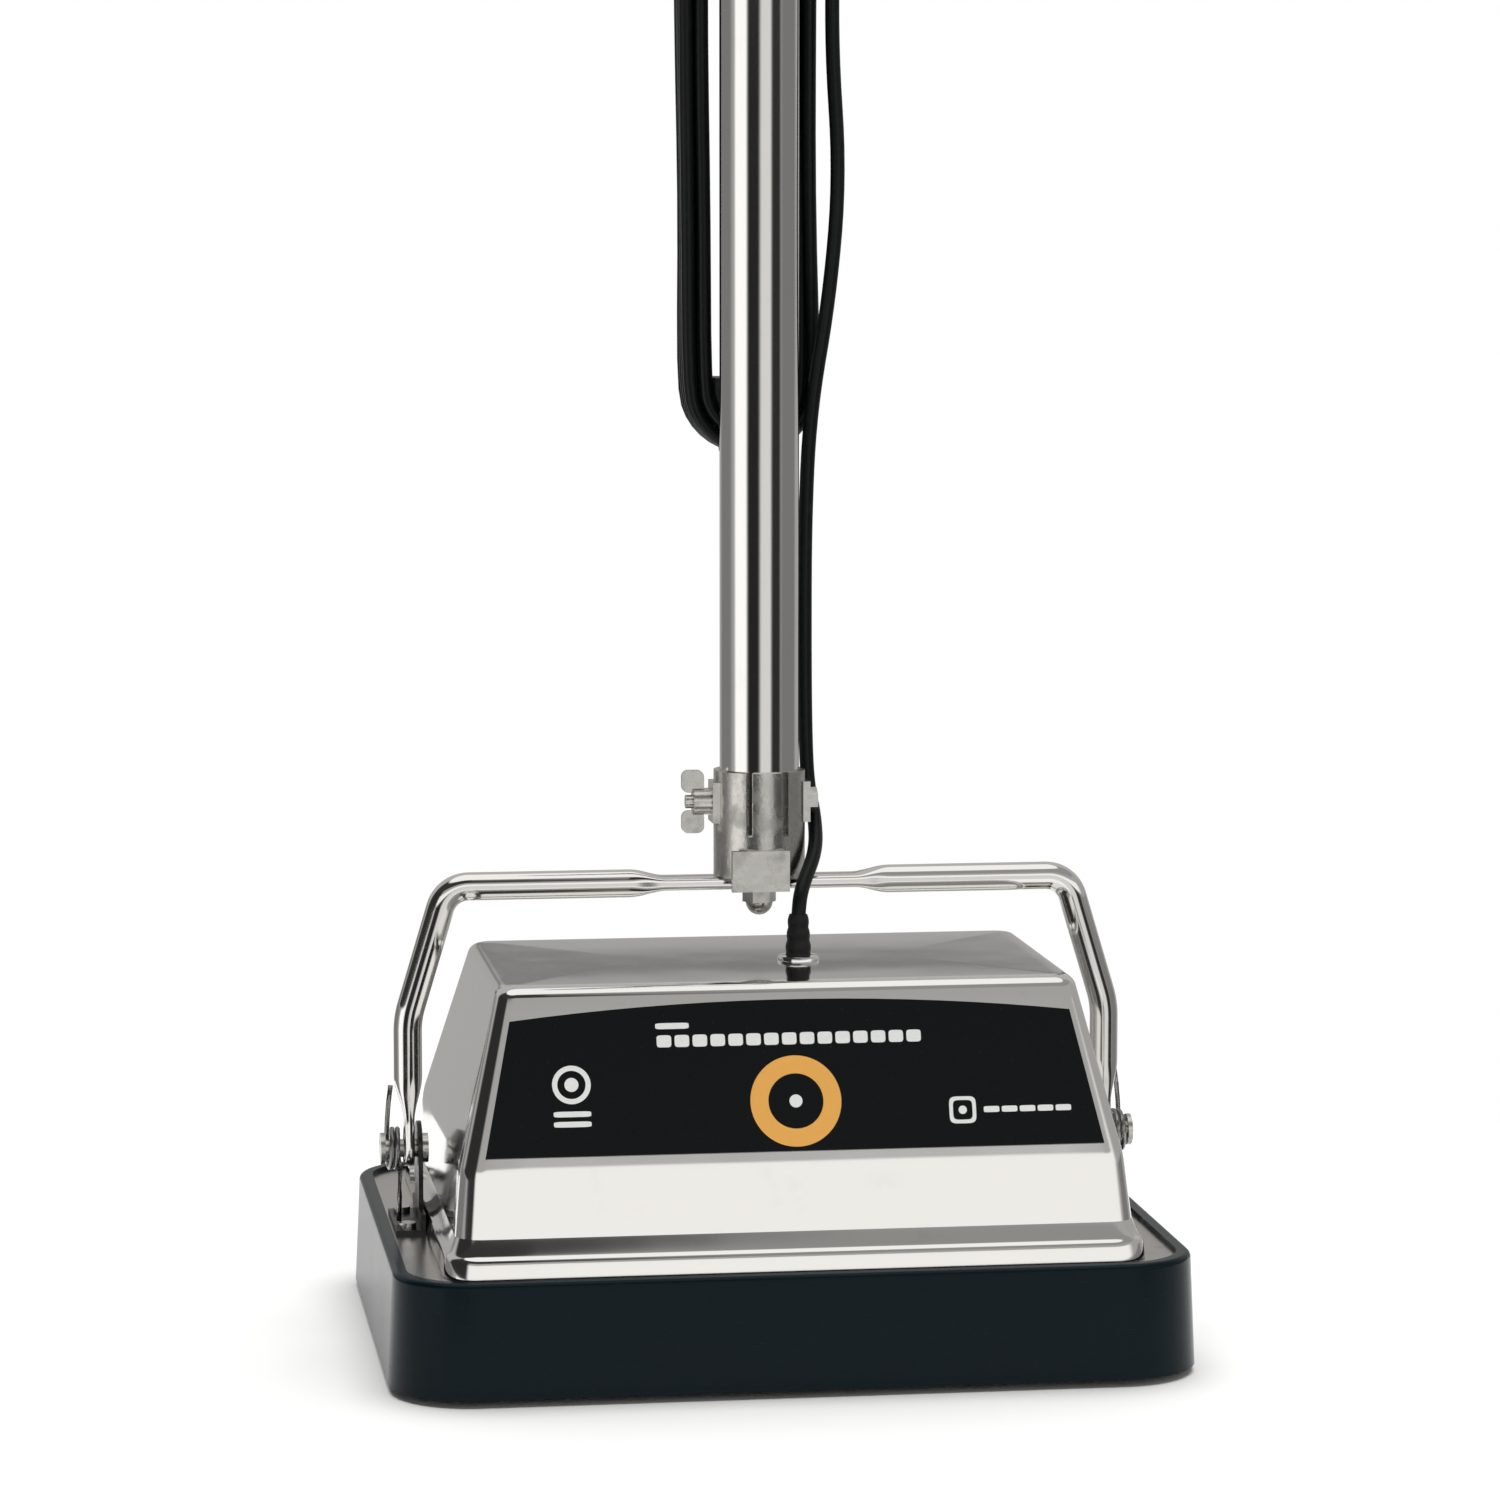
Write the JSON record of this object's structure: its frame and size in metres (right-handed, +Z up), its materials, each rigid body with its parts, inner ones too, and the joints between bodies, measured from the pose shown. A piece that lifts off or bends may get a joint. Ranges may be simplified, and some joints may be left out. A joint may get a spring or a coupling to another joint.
{
  "type": "twin brush floor polisher",
  "caption": "Low twin-brush floor polisher: rubber-bumpered base with a sloping bright hood, side-pivoted bail, straight tube handle, wound cord and thumb-slide grip.",
  "frame": {"origin": "on the floor, at the centre of the base's footprint", "axes": "+Z up along the upright handle, -Y the front with the sloping panel, +X the machine's right seen from the front; mirror-symmetric across X = 0 but for the motor, cords and clamp bolt"},
  "size_m": [0.3474, 0.2844, 1.13],
  "materials": {
    "bumper_rubber": "satin black moulded rubber",
    "black_rubber": "matt black rubber",
    "cord_rubber": "satin black cord sheath",
    "cast_deck": "die-cast, tumbled",
    "zinc_steel": "zinc plated",
    "bearing_steel": "ground",
    "lamination_steel": "stacked laminations",
    "spring_steel": "oil-tempered wire",
    "dark_steel": "black oxide",
    "polished_steel": "polished bright",
    "black_panel": "printed gloss black",
    "black_plastic": "fine spark-eroded grain",
    "red_plastic": "moulded",
    "fibre_gear": "laminated cotton phenolic",
    "brush_wood": "turned beech",
    "bristle_fibre": "dense natural and nylon bristle",
    "copper_winding": "enamelled copper",
    "brass": "turned brass"
  },
  "bodies": {
    "base": {"bumper": "bumper_rubber", "base_casting": "cast_deck", "gear_cover": "zinc_steel", "gear_cover_screws": "zinc_steel", "spindle_bearings": "bearing_steel", "left_bracket": "dark_steel", "right_bracket": "dark_steel", "motor_shell": "zinc_steel", "deck_screws": "zinc_steel", "stator_core": "lamination_steel", "field_coils": "copper_winding", "end_bell": "cast_deck", "brush_holders": "brass", "rotor_bearings": "bearing_steel", "hood": "polished_steel", "front_panel": "black_panel", "hood_trim": "polished_steel", "hood_screws": "zinc_steel", "hood_grommet": "black_rubber", "pivot_pins": "zinc_steel", "tilt_springs": "spring_steel", "lead_stub": "cord_rubber"},
    "left_brush": {"left_gear": "fibre_gear", "left_spindle": "bearing_steel", "left_brush_block": "brush_wood", "left_bristles": "bristle_fibre"},
    "right_brush": {"right_gear": "fibre_gear", "right_spindle": "bearing_steel", "right_brush_block": "brush_wood", "right_bristles": "bristle_fibre"},
    "rotor": {"pinion": "bearing_steel", "rotor_shaft": "bearing_steel", "armature_core": "lamination_steel", "armature_winding": "copper_winding", "commutator": "copper_winding", "cooling_fan": "cast_deck"},
    "handle": {"bail": "polished_steel", "handle_socket": "zinc_steel", "socket_bolt": "zinc_steel", "clamp_bolt": "zinc_steel", "wing_nut": "zinc_steel", "lower_tube": "polished_steel", "upper_tube": "polished_steel", "tube_ferrule": "polished_steel", "lower_cord_hook": "black_plastic", "upper_hook_base": "black_plastic", "hook_screws": "zinc_steel", "left_grip_half": "black_plastic", "right_grip_half": "black_plastic", "grip_screws": "zinc_steel", "mains_relief": "black_rubber", "lead_relief": "black_rubber", "motor_lead": "cord_rubber", "mains_cord": "cord_rubber", "cord_hank": "cord_rubber", "mains_tail": "cord_rubber", "plug": "black_rubber", "plug_pins": "brass"},
    "hook_swivel": {"upper_cord_hook": "black_plastic"},
    "switch": {"switch_slider": "red_plastic"}
  },
  "joints": [
    {"name": "handle_tilt", "type": "hinge", "parent": "base", "child": "handle", "pos_m": [0, 0, 0.084], "axis": [-1, 0, 0], "range_deg": [0, 60], "stiffness_Nm_per_rad": 14, "springref_deg": -14.32, "deforming": ["tilt_springs"]},
    {"name": "left_brush_spin", "type": "hinge", "parent": "base", "child": "left_brush", "pos_m": [-0.078, 0, 0.02], "axis": [0, 0, 1], "continuous": true},
    {"name": "right_brush_spin", "type": "hinge", "parent": "base", "child": "right_brush", "pos_m": [0.078, 0, 0.02], "axis": [0, 0, 1], "continuous": true},
    {"name": "rotor_spin", "type": "hinge", "parent": "base", "child": "rotor", "pos_m": [-0.005, -0.05264, 0.06], "axis": [0, 0, 1], "continuous": true},
    {"name": "hook_turn", "type": "hinge", "parent": "handle", "child": "hook_swivel", "pos_m": [0, 0.03, 0.885], "axis": [0, 1, 0], "range_deg": [0, 180]},
    {"name": "switch_slide", "type": "slide", "parent": "handle", "child": "switch", "axis": [0, 0, 1], "range_m": [0, 0.008]}
  ],
  "couplings": [
    {"joint": "right_brush_spin", "follows": "left_brush_spin", "ratio": -1},
    {"joint": "rotor_spin", "follows": "left_brush_spin", "ratio": -6.5}
  ]
}
